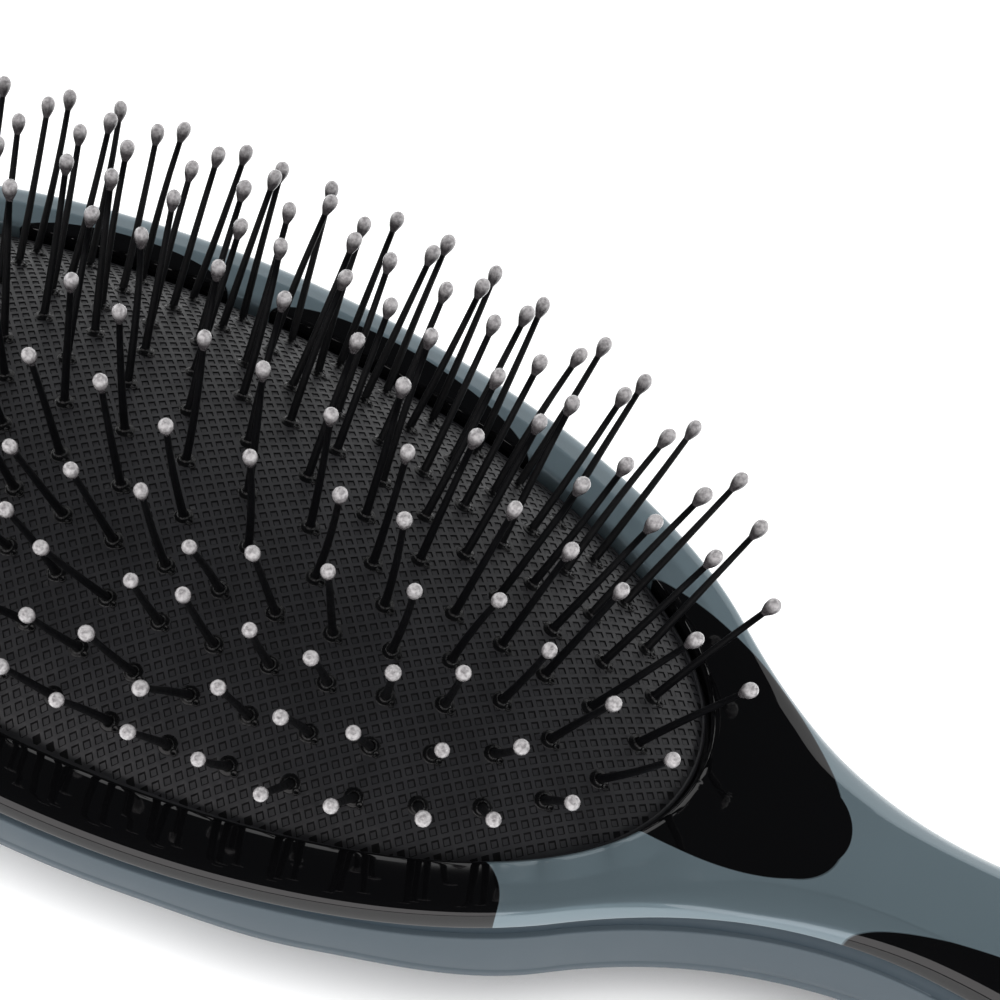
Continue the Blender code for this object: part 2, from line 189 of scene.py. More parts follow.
def between(inner, outer, share):
    return inner[0] + (outer[0] - inner[0]) * share, inner[1] + (outer[1] - inner[1]) * share


def spread(points, count):
    """Points at count equal steps along a line."""
    points = np.asarray(points, float)
    lengths = np.concatenate(([0], np.cumsum(np.linalg.norm(np.diff(points, axis=0), axis=1))))
    at = np.linspace(0, lengths[-1], count + 1)
    xs = np.interp(at, lengths, points[:, 0])
    ys = np.interp(at, lengths, points[:, 1])
    return [(float(x), float(y)) for x, y in zip(xs, ys)]


def superellipse(angle, half_length, half_width):
    c, s = math.cos(angle), math.sin(angle)
    power = 2 / PAD_SQUARENESS
    return math.copysign(half_length * abs(c) ** power, c), math.copysign(half_width * abs(s) ** power, s)


def oval_radius(x, y, half_length=PAD_HALF_LENGTH, half_width=PAD_HALF_WIDTH):
    """1 on the oval, less inside it and more outside, in proportion to the distance from its centre."""
    n = PAD_SQUARENESS
    return (abs(x / half_length) ** n + abs(y / half_width) ** n) ** (1 / n)


def dome_z(x, y):
    s = (x / PAD_HALF_LENGTH) ** 2 + (y / PAD_HALF_WIDTH) ** 2
    return DOME_HEIGHT * (1 - DOME_ROUND * s - (1 - DOME_ROUND) * s * s)


def dome_normal(x, y):
    step = 0.05
    dx = (dome_z(x + step, y) - dome_z(x - step, y)) / (2 * step)
    dy = (dome_z(x, y + step) - dome_z(x, y - step)) / (2 * step)
    normal = np.array((-dx, -dy, 1.0))
    return normal / np.linalg.norm(normal)


# ---------------------------------------------------------------- the pins' layout, as in the CAD


def ring_pins(number):
    """All pins of a ring, counted from the neck round the far side, the nose and the near side."""
    half_length, half_width, count = RINGS[number - 1]
    turns = [math.pi * i / RING_STEPS for i in range(RING_STEPS + 1)]
    half_ring = [superellipse(turn, half_length, half_width) for turn in turns]
    far = [(x + PATTERN_X, y) for x, y in spread(half_ring, count // 2)]
    return far + [(x, -y) for x, y in reversed(far[1:-1])]


def ring_runs(number):
    """The first and last pin of each group of a ring."""
    count = RINGS[number - 1][2]
    half = count // 2
    if number == 1:
        return {"far": (1, half - 1), "near": (half, count)}
    if number in (2, 3):
        return {
            "far": (3, half - 3),
            "nose": (half - 2, half + 2),
            "near": (half + 3, count - 3),
            "neck": (count - 2, count + 2),
        }
    return {
        "far": (4, half - 4),
        "nose_far": (half - 3, half - 1),
        "nose_near": (half, half + 3),
        "near": (half + 4, count - 4),
        "neck_near": (count - 3, count),
        "neck_far": (1, 3),
    }


def pin_groups():
    pitch = 2 * CENTRE_HALF_LENGTH / (CENTRE_PINS - 1)
    row = [(PATTERN_X + CENTRE_HALF_LENGTH - pitch * i, 0.0) for i in range(CENTRE_PINS)]
    groups = {"pins_centre": row}
    for number in range(1, len(RINGS) + 1):
        pins = ring_pins(number)
        for side, (first, last) in ring_runs(number).items():
            groups[f"pins_ring{number}_{side}"] = [pins[i % len(pins)] for i in range(first, last + 1)]
    return groups


# ---------------------------------------------------------------- outline of both shells

TAIL_FINE, SIDE_FINE = 800, 1600
TAIL_STEPS, HANDLE_STEPS, HEAD_STEPS = 30, 90, 170
RIDGE_START = 66.0


def half_width(x):
    if x <= NECK_START:
        return HEAD_HALF_WIDTH * math.sqrt(max(1 - (x / HEAD_HALF_LENGTH) ** 2, 0))
    if x < NECK_END:
        start = half_width(NECK_START)
        slope = -HEAD_HALF_WIDTH**2 * NECK_START / (HEAD_HALF_LENGTH**2 * start)
        t = (x - NECK_START) / (NECK_END - NECK_START)
        return hermite(t, start, slope, NECK_HALF_WIDTH, 0.0, NECK_END - NECK_START)
    if x < TAIL_X:
        return through(x, ((NECK_END, NECK_HALF_WIDTH), (PALM_X, PALM_HALF_WIDTH), (TAIL_X, TAIL_HALF_WIDTH)))
    t = (x - TAIL_X) / (HANDLE_END - TAIL_X)
    return TAIL_HALF_WIDTH * math.sqrt(max(1 - t * t, 0))


def outline_half():
    """The far half of the outline in fine steps, from the end of the handle to the nose of the head."""
    fine = []
    for turn in np.linspace(0, math.pi / 2, TAIL_FINE):
        fine.append((TAIL_X + (HANDLE_END - TAIL_X) * math.cos(turn), TAIL_HALF_WIDTH * math.sin(turn)))
    for x in np.linspace(TAIL_X, NECK_START, SIDE_FINE)[1:]:
        fine.append((x, half_width(x)))
    first = math.acos(NECK_START / HEAD_HALF_LENGTH)
    for turn in np.linspace(first, math.pi, SIDE_FINE)[1:]:
        fine.append((HEAD_HALF_LENGTH * math.cos(turn), HEAD_HALF_WIDTH * math.sin(turn)))
    return fine


def outline_stations():
    """The stations of the handle and of the head, where the shells' sections stand."""
    outline = outline_half()
    tail = next(i for i, (x, _) in enumerate(outline) if x <= TAIL_X)
    knee = next(i for i, (x, _) in enumerate(outline) if x < RIDGE_START)
    handle = spread(outline[: tail + 1], TAIL_STEPS) + spread(outline[tail : knee + 1], HANDLE_STEPS)[1:]
    head = spread(outline[knee:], HEAD_STEPS)[1:]
    return handle, head


def half_shell(sections, open_steps, open_side):
    """Points and faces on both sides of the XZ plane; one side of the first sections stays open there."""
    count = len(sections[0])
    points, faces = [], []
    for mirror in (1, -1):
        base = len(points)
        for section in sections:
            points.extend((x, y * mirror, z) for x, y, z in section)
        for step in range(len(sections) - 1):
            for i in range(count):
                if i == open_side and step < open_steps:
                    continue
                j = (i + 1) % count
                a, b = base + step * count, base + (step + 1) * count
                faces.append((a + i, b + i, b + j, a + j)[::mirror])
    return points, faces


# ---------------------------------------------------------------- front shell

# Height of the crest along the handle, and the width of the rounded shoulder inside the outline
CREST_HEIGHTS = ((62.0, CREST_Z), (104.0, 3.0), (PALM_X, 5.0), (HANDLE_END, CREST_Z))
SHOULDERS = ((20.0, 2.3), (54.0, 1.7), (62.0, 2.4), (69.0, 3.6), (75.0, 4.2), (150.0, 4.6))
LARGEST_SHOULDER = 0.8

# Fullness of the shoulder on the head and on the handle, and how far the neck's shoulder is creased
HEAD_FULLNESS, HANDLE_FULLNESS = 2.2, 3.8
FULLNESS_START, FULLNESS_RAMP = 10.0, 60.0
CREASE, CREASE_START, CREASE_RAMP = 0.36, 58.0, 12.0

# The slope down to the cushion: a steep curl at the opening, a wide bevel, and a rolled lip
CURL_SHARE, CURL_REACH = 0.72, 1.1
BEVEL_REACH, BEVEL_POWER = 3.8, 1.05
ROLL_DEPTH, ROLL_REACH = 0.25, 0.3

# The outer edge: a narrow ledge, and the tuck under it as insets from the ledge
LEDGE = 0.12
TUCK_INSETS, TUCK_DROP = (0.02, 0.25), 0.05

# Steps of a section, and how the ends of the handle's sections crowd toward the opening
LIP_STEPS, LIP_STEP = 6, 0.1
SLOPE_STEPS, SHOULDER_STEPS = 20, 22
LIP_FINE = 3000
CROWDING, CROWDING_POWER = 0.93, 8


def crest_z(x):
    return through(max(x, CREST_HEIGHTS[0][0]), CREST_HEIGHTS)


def front_z(x, y, inset):
    """Height of the front face at a point that lies inset from the outline."""
    crease = CREASE * smooth((x - CREASE_START) / CREASE_RAMP)
    rise = 1 - min(inset / through(x, SHOULDERS), 1.0)
    fullness = (HANDLE_FULLNESS - HEAD_FULLNESS) * smooth((x - FULLNESS_START) / FULLNESS_RAMP)
    share = math.sqrt(max(1 - rise ** (HEAD_FULLNESS + fullness), 0)) * (1 - crease * rise)
    top = PARTING_Z + (crest_z(x) - PARTING_Z) * share
    from_pad = max(math.hypot(x, y) * (1 - 1 / oval_radius(x, y)), 0.0)
    curl = CURL_SHARE * max(1 - from_pad / CURL_REACH, 0.0) ** 2
    bevel = (1 - CURL_SHARE) * max(1 - from_pad / BEVEL_REACH, 0.0) ** BEVEL_POWER
    roll = ROLL_DEPTH * max(0.0, 1 - (from_pad - GAP) / ROLL_REACH) ** 2
    return top - (CREST_Z - LIP_Z) * (curl + bevel) - roll


def front_section(outer, inner):
    """The closed section of the front shell from a point of its outline to one of its opening or ridge."""
    x = outer[0]
    reach = math.dist(outer, inner)
    shoulder = min(through(x, SHOULDERS), LARGEST_SHOULDER * reach)
    insets = [reach - LIP_STEP * i for i in range(LIP_STEPS)]
    insets += list(np.linspace(reach - LIP_STEP * LIP_STEPS, shoulder, SLOPE_STEPS))
    turns = [math.pi / 2 * i / SHOULDER_STEPS for i in range(1, SHOULDER_STEPS + 1)]
    insets += [shoulder * (1 - math.sin(turn)) for turn in turns]
    section = []
    for inset in insets:
        inset = max(inset, 0.0)
        px, py = between(inner, outer, (1 - inset / reach) * (1 - LEDGE / reach))
        section.append((px, py, front_z(px, py, inset)))
    for inset in TUCK_INSETS:
        section.append((*between(inner, outer, 1 - (LEDGE + inset) / reach), PARTING_Z - TUCK_DROP))
    wx, wy = between(inner, outer, 1 - WALL / reach)
    section.append((wx, wy, PARTING_Z))
    section.append((wx, wy, front_z(wx, wy, WALL) - 0.6 * WALL))
    section.append((*inner, front_z(*inner, reach) - 0.75 * WALL))
    return section


def front_frame(material):
    handle, head = outline_stations()
    opening = PAD_HALF_LENGTH + GAP, PAD_HALF_WIDTH + GAP
    opening_line = [superellipse(math.pi * i / LIP_FINE, *opening) for i in range(LIP_FINE + 1)]
    ridge_end = HANDLE_END - TAIL_HALF_WIDTH
    pairs = []
    for x, y in handle:
        share = max((min(x, ridge_end) - RIDGE_START) / (ridge_end - RIDGE_START), 0.0)
        share *= 1 - CROWDING * (1 - share) ** CROWDING_POWER
        pairs.append(((x, y), (opening[0] + (ridge_end - opening[0]) * share, 0.0)))
    pairs += list(zip(head, spread(opening_line, HEAD_STEPS)[1:]))
    sections = [front_section(outer, inner) for outer, inner in pairs]
    points, faces = half_shell(sections, len(handle) - 1, len(sections[0]) - 1)
    return welded_object("front_frame", points, faces, [material])


# ---------------------------------------------------------------- back shell

BACK_TOP_Z = PARTING_Z - GAP
BACK_FLAT_Z = -RIM_Z
NECK_BACK_Z = -11.0
BELLY_HEIGHTS = (
    (20.0, BACK_FLAT_Z),
    (NECK_END, NECK_BACK_Z),
    (PALM_X, BACK_FLAT_Z),
    (HANDLE_END, NECK_BACK_Z),
)

# Depth of the parting groove and of the upright side band along the brush
GROOVES = ((10.0, 0.42), (30.0, 0.5), (54.0, 1.25), (70.0, 1.8), (150.0, 1.8))
SIDE_BANDS = ((20.0, 4.3), (36.0, 5.4), (54.0, 7.6), (75.0, 8.6), (150.0, 7.0))

# Profiles as pairs of inset and height, each height measured from the level that the name gives
GROOVE_INSET = 0.52
FROM_TOP = ((WALL, 0.0), (1.0, 0.0), (0.75, 0.0), (0.58, -0.04), (GROOVE_INSET, -0.12))
FROM_GROOVE = ((0.5, 0.0), (0.34, -0.06), (0.12, -0.1), (0.03, -0.16), (0.0, -0.28))
FROM_LINE = ((0.0, 0.6), (0.0, 0.1), (0.09, 0.04), (0.1, -0.06), (0.04, -0.14))
FROM_BAND = ((0.05, 0.3), (0.1, 0.0))
LINE_HEIGHT = 0.9

# The belly: the share of its reach that stays flat, its squareness and steps, and its inside as shares of the
# reach and of the depth
BELLY_FLAT, BELLY_SQUARENESS, BELLY_STEPS = 0.4, 1.3, 22
INSIDE = ((0.4, 1.0), (0.6, 0.82), (0.8, 0.5), (0.93, 0.2), (1.0, 0.0))

# A face belongs to the groove between these heights, below its top and above its foot, if it stands upright;
# such faces get the satin painted darker, as painted shade in the groove
GROOVE_TOP_MARGIN, GROOVE_FOOT_MARGIN, UPRIGHT = 0.03, 0.09, 0.75


def belly_z(x):
    return through(max(x, BELLY_HEIGHTS[0][0]), BELLY_HEIGHTS)


def spine_x(x):
    """Where the section that starts at x of the outline meets the XZ plane."""
    head_share = (HEAD_HALF_LENGTH**2 - HEAD_HALF_WIDTH**2) / HEAD_HALF_LENGTH**2
    if x < NECK_START:
        return x * head_share
    start, end = NECK_START * head_share, HANDLE_END - TAIL_HALF_WIDTH
    return start + (end - start) * (min(x, HANDLE_END) - NECK_START) / (HANDLE_END - NECK_START)


def back_section(x, y):
    """The outer and the inner profile of the back shell from a point of its outline to the XZ plane."""
    spine = (spine_x(x), 0.0)
    reach = math.dist((x, y), spine)
    bottom = belly_z(spine[0])
    depth = min(1.0, (BACK_TOP_Z - bottom) / (BACK_TOP_Z - BACK_FLAT_Z))
    band = BACK_TOP_Z - through(x, SIDE_BANDS) * depth
    groove = BACK_TOP_Z - through(x, GROOVES)
    levels = (
        (BACK_TOP_Z, FROM_TOP),
        ((BACK_TOP_Z + groove) / 2, ((GROOVE_INSET, 0.0),)),
        (groove, FROM_GROOVE),
        (band + LINE_HEIGHT, FROM_LINE),
        (band, FROM_BAND),
    )
    outer = []
    for level, profile in levels:
        for inset, rise in profile:
            outer.append((*between(spine, (x, y), 1 - inset / reach), level + rise))
    for i in range(1, BELLY_STEPS + 1):
        fall = 0.5 - 0.5 * math.cos(math.pi * i / BELLY_STEPS)
        round_share = max(1 - fall**BELLY_SQUARENESS, 0.0) ** (1 / BELLY_SQUARENESS)
        share = min(BELLY_FLAT + (1 - BELLY_FLAT) * round_share, 1 - FROM_BAND[-1][0] / reach)
        outer.append((*between(spine, (x, y), share), band + (bottom - band) * fall))
    outer += [(*between(spine, (x, y), share), bottom) for share in (BELLY_FLAT / 2, 0.0)]
    inner = [(*spine, bottom + WALL)]
    for share, fall in INSIDE:
        point = between(spine, (x, y), share * (1 - WALL / reach))
        inner.append((*point, band + (bottom + WALL - band) * fall))
    return outer, inner


def back_cover(material, groove_shade_material):
    handle, head = outline_stations()
    profiles = [back_section(x, y) for x, y in handle + head]
    sections = [outer + inner for outer, inner in profiles]
    points, faces = half_shell(sections, len(sections), len(profiles[0][0]) - 1)
    cover = welded_object("back_cover", points, faces, [material, groove_shade_material])
    for polygon in cover.data.polygons:
        foot = BACK_TOP_Z - through(polygon.center.x / MM - PAD_X, GROOVES) - GROOVE_FOOT_MARGIN
        in_painted_shade_groove = foot < polygon.center.z / MM - RIM_Z < BACK_TOP_Z - GROOVE_TOP_MARGIN
        # Faces in the groove take slot 1, the satin painted darker as shade
        if in_painted_shade_groove and abs(polygon.normal.z) < UPRIGHT:
            polygon.material_index = 1
    return cover


# ---------------------------------------------------------------- cushion

# Embossing: pitch of the squares, the lines of one pitch, which of them bound a pit's floor, and its depth
PITCH = 1.0
PIT_LINES = (0.17, 0.27, 0.73, 0.83)
FLOOR_LINES = (False, True, True, False)
PIT_DEPTH = 0.11
WALL_DEPTH_SHARE = 0.3

# The embossed face stops short of the cushion's edge, fades toward it, and rolls down over it
EDGE_INSET, EDGE_FADE = 0.45, 0.12
EDGE_DROP, EDGE_DROP_REACH = 0.22, 0.9
EDGE_ROLL = ((-0.28, -0.02), (-0.13, -0.12), (-0.03, -0.3), (0.0, -0.55), (0.0, -FLANGE_DROP))

# No pit this near to a pin, where its socket stands, and the fade outside that
SOCKET_CLEAR, SOCKET_FADE = 1.0, 0.15

# A grid point this near to the oval is moved onto it, so that no sliver of a face is cut there
SNAP_DISTANCE, SNAP_LONGEST_RAY = 0.035, 40
CUT_HALVINGS = 30

UNDERSIDE_SHARES = (0.9, 0.7, 0.45, 0.15)
PAD_SHARP_ANGLE = 24


def grid_lines():
    """Where the lines of the embossing run, and whether each bounds the floor of a pit."""
    reach = int(PAD_HALF_LENGTH / PITCH) + 2
    lines = [(i + line) * PITCH for i in range(-reach, reach) for line in PIT_LINES]
    return np.array(lines), np.tile(FLOOR_LINES, 2 * reach)


def clipped_grid():
    """The plan of the cushion's upper face: a square grid at 45 degrees, clipped to its oval."""
    lines, low = grid_lines()
    u, v = np.meshgrid(lines, lines, indexing="ij")
    sunk = low[:, None] & low[None, :]
    flat = np.stack([(u - v) / math.sqrt(2), (u + v) / math.sqrt(2)], -1)
    halves = PAD_HALF_LENGTH - EDGE_INSET, PAD_HALF_WIDTH - EDGE_INSET
    radius = oval_radius(flat[..., 0], flat[..., 1], *halves)
    ray = np.minimum(np.hypot(flat[..., 0], flat[..., 1]), SNAP_LONGEST_RAY)
    close = np.abs(radius - 1) * ray < SNAP_DISTANCE
    inside = (radius < 1) | close
    flat[close] /= radius[close][:, None]
    index = -np.ones(inside.shape, int)
    points, faces, cuts = [], [], {}
    for i, j in np.argwhere(inside):
        index[i, j] = len(points)
        points.append((*flat[i, j], bool(sunk[i, j])))

    def cut(p, q):
        """Number of the point where the side from inside corner p to outside corner q crosses the oval."""
        if (p, q) not in cuts:
            start, end = 0.0, 1.0
            for _ in range(CUT_HALVINGS):
                middle = (start + end) / 2
                if oval_radius(*(flat[p] + (flat[q] - flat[p]) * middle), *halves) < 1:
                    start = middle
                else:
                    end = middle
            cuts[p, q] = len(points)
            points.append((*(flat[p] + (flat[q] - flat[p]) * start), False))
        return cuts[p, q]

    any_inside = inside[:-1, :-1] | inside[1:, :-1] | inside[:-1, 1:] | inside[1:, 1:]
    for i, j in np.argwhere(any_inside):
        corners = ((i, j), (i + 1, j), (i + 1, j + 1), (i, j + 1))
        face = []
        for c, d in zip(corners, corners[1:] + corners[:1]):
            if inside[c]:
                face.append(index[c])
            if inside[c] != inside[d]:
                inner, outer = (c, d) if inside[c] else (d, c)
                if not close[inner]:
                    face.append(cut(inner, outer))
        if len(set(face)) >= 3:
            faces.append(face)
    return np.array([point[:2] for point in points]), np.array([point[2] for point in points]), faces


def embossed_face(pins):
    """Points, faces and material slots of the cushion's upper face; the sides of the pits have slot 1, the
    rubber painted darker as shade in the pits.
    """
    xy, sunk, faces = clipped_grid()
    x, y = xy[:, 0], xy[:, 1]
    from_edge = np.hypot(x, y) * (1 / oval_radius(x, y) - 1) - EDGE_INSET
    from_pin = np.min([np.hypot(x - pin_x, y - pin_y) for pin_x, pin_y in pins], axis=0)
    by_edge = np.clip(from_edge / EDGE_FADE, 0, 1)
    by_pin = np.clip((from_pin - SOCKET_CLEAR) / SOCKET_FADE, 0, 1)
    depth = sunk * by_edge * by_pin
    drop = EDGE_DROP * (1 - np.clip(from_edge / EDGE_DROP_REACH, 0, 1)) ** 2
    z = dome_z(x, y) - PIT_DEPTH * depth - drop
    slots = []
    # Pit sides take slot 1, the rubber painted darker as shade in the pits
    for face in faces:
        mixed = 0 < sum(sunk[face]) < len(face)
        slots.append(int(mixed and max(depth[face]) > WALL_DEPTH_SHARE))
    return np.column_stack([xy, z]), faces, slots


def boundary_loop(faces):
    """The points along the free edge of some faces, in order."""
    edges = {(a, b) for face in faces for a, b in zip(face, face[1:] + face[:1])}
    after = {a: b for a, b in edges if (b, a) not in edges}
    first = min(after)
    loop, at = [first], after[first]
    while at != first:
        loop.append(at)
        at = after[at]
    return loop


def cushion(materials, pins):
    points, faces, slots = embossed_face(pins)
    previous = boundary_loop(faces)
    rim = points[previous]
    unit = rim[:, :2] / oval_radius(rim[:, 0], rim[:, 1])[:, None]
    normal = unit / (PAD_HALF_LENGTH**2, PAD_HALF_WIDTH**2)
    normal /= np.linalg.norm(normal, axis=1)[:, None]
    flange_bottom = -FLANGE_DROP - FLANGE_THICKNESS
    flange = ((FLANGE_REACH, -FLANGE_DROP), (FLANGE_REACH, flange_bottom), (-PAD_THICKNESS, flange_bottom))
    rows = []
    for reach, z in EDGE_ROLL + flange:
        rows.append(np.column_stack([unit + normal * reach, np.full(len(unit), z)]))
    for share in UNDERSIDE_SHARES:
        x, y = (unit * share).T
        rows.append(np.column_stack([x, y, dome_z(x, y) - PAD_THICKNESS]))
    first = len(points)
    for row in rows:
        current = list(range(first, first + len(row)))
        first += len(row)
        for k in range(len(row)):
            m = (k + 1) % len(row)
            faces.append((previous[m], previous[k], current[k], current[m]))
        previous = current
    faces.append(tuple(reversed(previous)))
    slots += [0] * (len(faces) - len(slots))
    pad = new_object("cushion", np.concatenate([points, *rows]), faces, materials, slots)
    pad.data.set_sharp_from_angle(angle=math.radians(PAD_SHARP_ANGLE))
    return pad


# ---------------------------------------------------------------- sockets

# Profiles as pairs of radius and height over the rubber, and where the moulding pip stands beside the pin
COLLAR = ((0.95, -0.08), (0.92, 0.0), (0.82, 0.05), (0.69, 0.09), (0.56, 0.13), (0.47, 0.26), (0.42, 0.38))
PIP = ((0.36, -0.05), (0.34, 0.14), (0.27, 0.19), (0.2, 0.16), (0.15, 0.1), (0.0001, 0.09))
PIP_ACROSS, PIP_BACK = 0.82, -0.3
COLLAR_SIDES, PIP_SIDES = 20, 12


def sockets(material, pins):
    """A low glossy collar round each pin's foot, with a small moulding pip beside the pin."""
    points, faces = [], []
    for x, y in pins:
        up = dome_normal(x, y)
        across = np.cross((0.0, 1.0, 0.0), up)
        across /= np.linalg.norm(across)
        back = np.cross(up, across)
        foot = np.array((x, y, dome_z(x, y)))
        collar = [(up * height, radius) for radius, height in COLLAR]
        pip_foot = across * PIP_ACROSS + back * PIP_BACK
        pip = [(pip_foot + up * height, radius) for radius, height in PIP]
        for profile, sides in ((collar, COLLAR_SIDES), (pip, PIP_SIDES)):
            faces += turned_faces(len(points), len(profile), sides)
            points += turned_points(foot, across, back, profile, sides)
        faces.append(tuple(range(len(points) - PIP_SIDES, len(points))))
    return new_object("pin_sockets", points, faces, [material])


# ---------------------------------------------------------------- pins

# Profiles as pairs of height over the rubber and radius
SHAFT = ((-1.9, 0.42), (0.0, 0.41), (2.5, 0.385), (5.5, 0.36), (8.5, 0.335), (11.5, 0.31), (14.6, 0.29))
TIP = (
    (14.62, 0.31), (14.72, 0.34), (14.9, 0.42), (15.15, 0.53), (15.4, 0.62), (15.65, 0.675), (15.92, 0.69),
    (16.17, 0.655), (16.38, 0.565), (16.54, 0.43), (16.64, 0.28), (16.68, 0.18), (16.61, 0.11),
)
PIN_SIDES = 14
BOW_SPAN = 16.0
# Height where the painted light on the tips' ends begins, and the height over which it reaches full
LIT_END_START, LIT_END_RAMP = 15.5, 0.9

# Spread of each pin's lean in radians, its bow in millimetres and the size of its tip
LEAN_SPREAD, BOW_SPREAD, TIP_SPREAD = math.radians(2.2), 0.22, 0.03

# How far the pins fan out: factors of the place on the cushion and of its cube, and the gain toward the ends
FAN_LENGTHWAYS = (0.24, 0.59)
FAN_SIDEWAYS = (1.14, -0.58)
FAN_END_GAIN = 0.95


def fan(x, y):
    u, v = (x - PATTERN_X) / PAD_HALF_LENGTH, y / PAD_HALF_WIDTH
    lengthways = FAN_LENGTHWAYS[0] * u + FAN_LENGTHWAYS[1] * u**3
    sideways = (FAN_SIDEWAYS[0] * v + FAN_SIDEWAYS[1] * v**3) * (1 + FAN_END_GAIN * u * u)
    direction = np.array((lengthways, sideways, 1.0))
    return direction / np.linalg.norm(direction)


def pin_points(x, y):
    axis = fan(x, y)
    lean = RNG.normal(0, LEAN_SPREAD, 2)
    bow = RNG.normal(0, BOW_SPREAD, 2)
    tip_size = 1 + RNG.normal(0, TIP_SPREAD)
    across = np.cross(axis, (1.0, 0.0, 0.0))
    across /= np.linalg.norm(across)
    up = np.cross(axis, across)
    axis = axis + across * lean[0] + up * lean[1]
    axis /= np.linalg.norm(axis)
    bend = across * bow[0] + up * bow[1]
    profile = []
    for height, radius in SHAFT + TIP:
        t = max(height, 0.0) / BOW_SPAN
        size = tip_size if height > SHAFT[-1][0] else 1
        profile.append((axis * height + bend * t * (1 - t) * 2, radius * size))
    return turned_points(np.array((x, y, dome_z(x, y))), across, up, profile, PIN_SIDES)


def pins_object(name, pins, materials):
    """Pins with their shafts in slot 0 and tips in slot 1; an attribute rises to 1 at the tips' ends, where
    the tips are painted lighter as painted light.
    """
    rows = len(SHAFT) + len(TIP)
    pin_painted_light_caps = [min(max((height - LIT_END_START) / LIT_END_RAMP, 0.0), 1.0) for height, _ in SHAFT + TIP]
    pin_slots = [0] * (PIN_SIDES * len(SHAFT)) + [1] * (PIN_SIDES * (len(TIP) - 1)) + [0, 1]
    points, faces = [], []
    for x, y in pins:
        base = len(points)
        points += pin_points(x, y)
        faces += turned_faces(base, rows, PIN_SIDES)
        faces.append(tuple(reversed(range(base, base + PIN_SIDES))))
        faces.append(tuple(range(len(points) - PIN_SIDES, len(points))))
    obj = new_object(name, points, faces, materials, pin_slots * len(pins))
    painted_light_caps = np.tile(np.repeat(pin_painted_light_caps, PIN_SIDES), len(pins))
    obj.data.attributes.new("painted_light_cap", "FLOAT", "POINT").data.foreach_set("value", painted_light_caps)
    return obj


# ---------------------------------------------------------------- materials

# The noise values that `vary` stretches over its whole range
NOISE_SPAN = (0.3, 0.7)
PATCH_EDGE = 0.012

BLACK = (0.0018, 0.0018, 0.0021, 1)

# Black patches of the two-tone shell: centre, half sizes in millimetres and turn in degrees of plain ovals
PATCHES = (
    ((0.0, -30.0), (50.0, 20.0), 0.0),
    ((44.2, -23.3), (5.5, 5.9), 0.0),
    ((-20.0, 25.2), (12.0, 4.4), 12.0),
    ((12.0, 25.6), (16.5, 5.8), -8.0),
    ((54.6, 6.4), (19.8, 8.9), -30.0),
    ((58.9, -1.9), (13.0, 6.0), 0.0),
    ((67.2, 0.9), (5.6, 4.8), -40.0),
    ((97.6, -7.7), (22.0, 5.0), 2.0),
    ((138.0, 3.0), (12.0, 5.0), 20.0),
)


class Nodes:
    """Short calls for making and linking a material's nodes."""

    def __init__(self, name):
        self.material = bpy.data.materials.new(name)
        self.material.use_nodes = True
        self.tree = self.material.node_tree
        self.shader = self.tree.nodes["Principled BSDF"]

    def add(self, kind, settings=None, **inputs):
        node = self.tree.nodes.new(kind)
        for key, value in (settings or {}).items():
            setattr(node, key, value)
        for key, value in inputs.items():
            self.put(node.inputs[key.replace("_", " ")], value)
        return node

    def put(self, socket, value):
        if isinstance(value, bpy.types.NodeSocket):
            self.tree.links.new(value, socket)
        else:
            socket.default_value = value

    def set(self, **inputs):
        for key, value in inputs.items():
            self.put(self.shader.inputs[key.replace("_", " ")], value)

    def position(self):
        return self.add("ShaderNodeTexCoord").outputs["Object"]

    def noise(self, scale, detail=4.0, roughness=0.5):
        settings = {"Vector": self.position(), "Scale": scale, "Detail": detail, "Roughness": roughness}
        return self.add("ShaderNodeTexNoise", **settings).outputs["Fac"]

    def math(self, operation, a, b=0.0):
        node = self.add("ShaderNodeMath", {"operation": operation})
        self.put(node.inputs[0], a)
        self.put(node.inputs[1], b)
        return node.outputs[0]

    def remap(self, value, from_low, from_high, to_low, to_high):
        node = self.add("ShaderNodeMapRange", {"clamp": True})
        for socket, v in zip(node.inputs, (value, from_low, from_high, to_low, to_high)):
            self.put(socket, v)
        return node.outputs[0]

    def vary(self, low, high, scale, detail=4.0):
        """A value that wanders from low to high."""
        return self.remap(self.noise(scale, detail), *NOISE_SPAN, low, high)

    def mix(self, factor, a, b):
        node = self.add("ShaderNodeMix", {"data_type": "RGBA"})
        self.put(node.inputs[0], factor)
        self.put(node.inputs[6], a)
        self.put(node.inputs[7], b)
        return node.outputs[2]

    def bump(self, height, strength, distance):
        node = self.add("ShaderNodeBump", Height=height, Strength=strength, Distance=distance)
        self.set(Normal=node.outputs["Normal"])

    def turned(self, dx, dy, x_factor, y_factor):
        return self.math("ADD", self.math("MULTIPLY", dx, x_factor), self.math("MULTIPLY", dy, y_factor))

    def oval(self, x, y, centre, half, angle):
        """1 inside an oval of the XY plane and 0 outside; x and y are the sockets of the place in metres."""
        c, s = math.cos(math.radians(angle)), math.sin(math.radians(angle))
        dx = self.math("SUBTRACT", x, (centre[0] + PAD_X) * MM)
        dy = self.math("SUBTRACT", y, centre[1] * MM)
        along = self.turned(dx, dy, c / (half[0] * MM), s / (half[0] * MM))
        across = self.turned(dx, dy, -s / (half[1] * MM), c / (half[1] * MM))
        along, across = self.math("MULTIPLY", along, along), self.math("MULTIPLY", across, across)
        distance = self.math("ADD", along, across)
        return self.remap(distance, 1 - PATCH_EDGE, 1 + PATCH_EDGE, 1.0, 0.0)


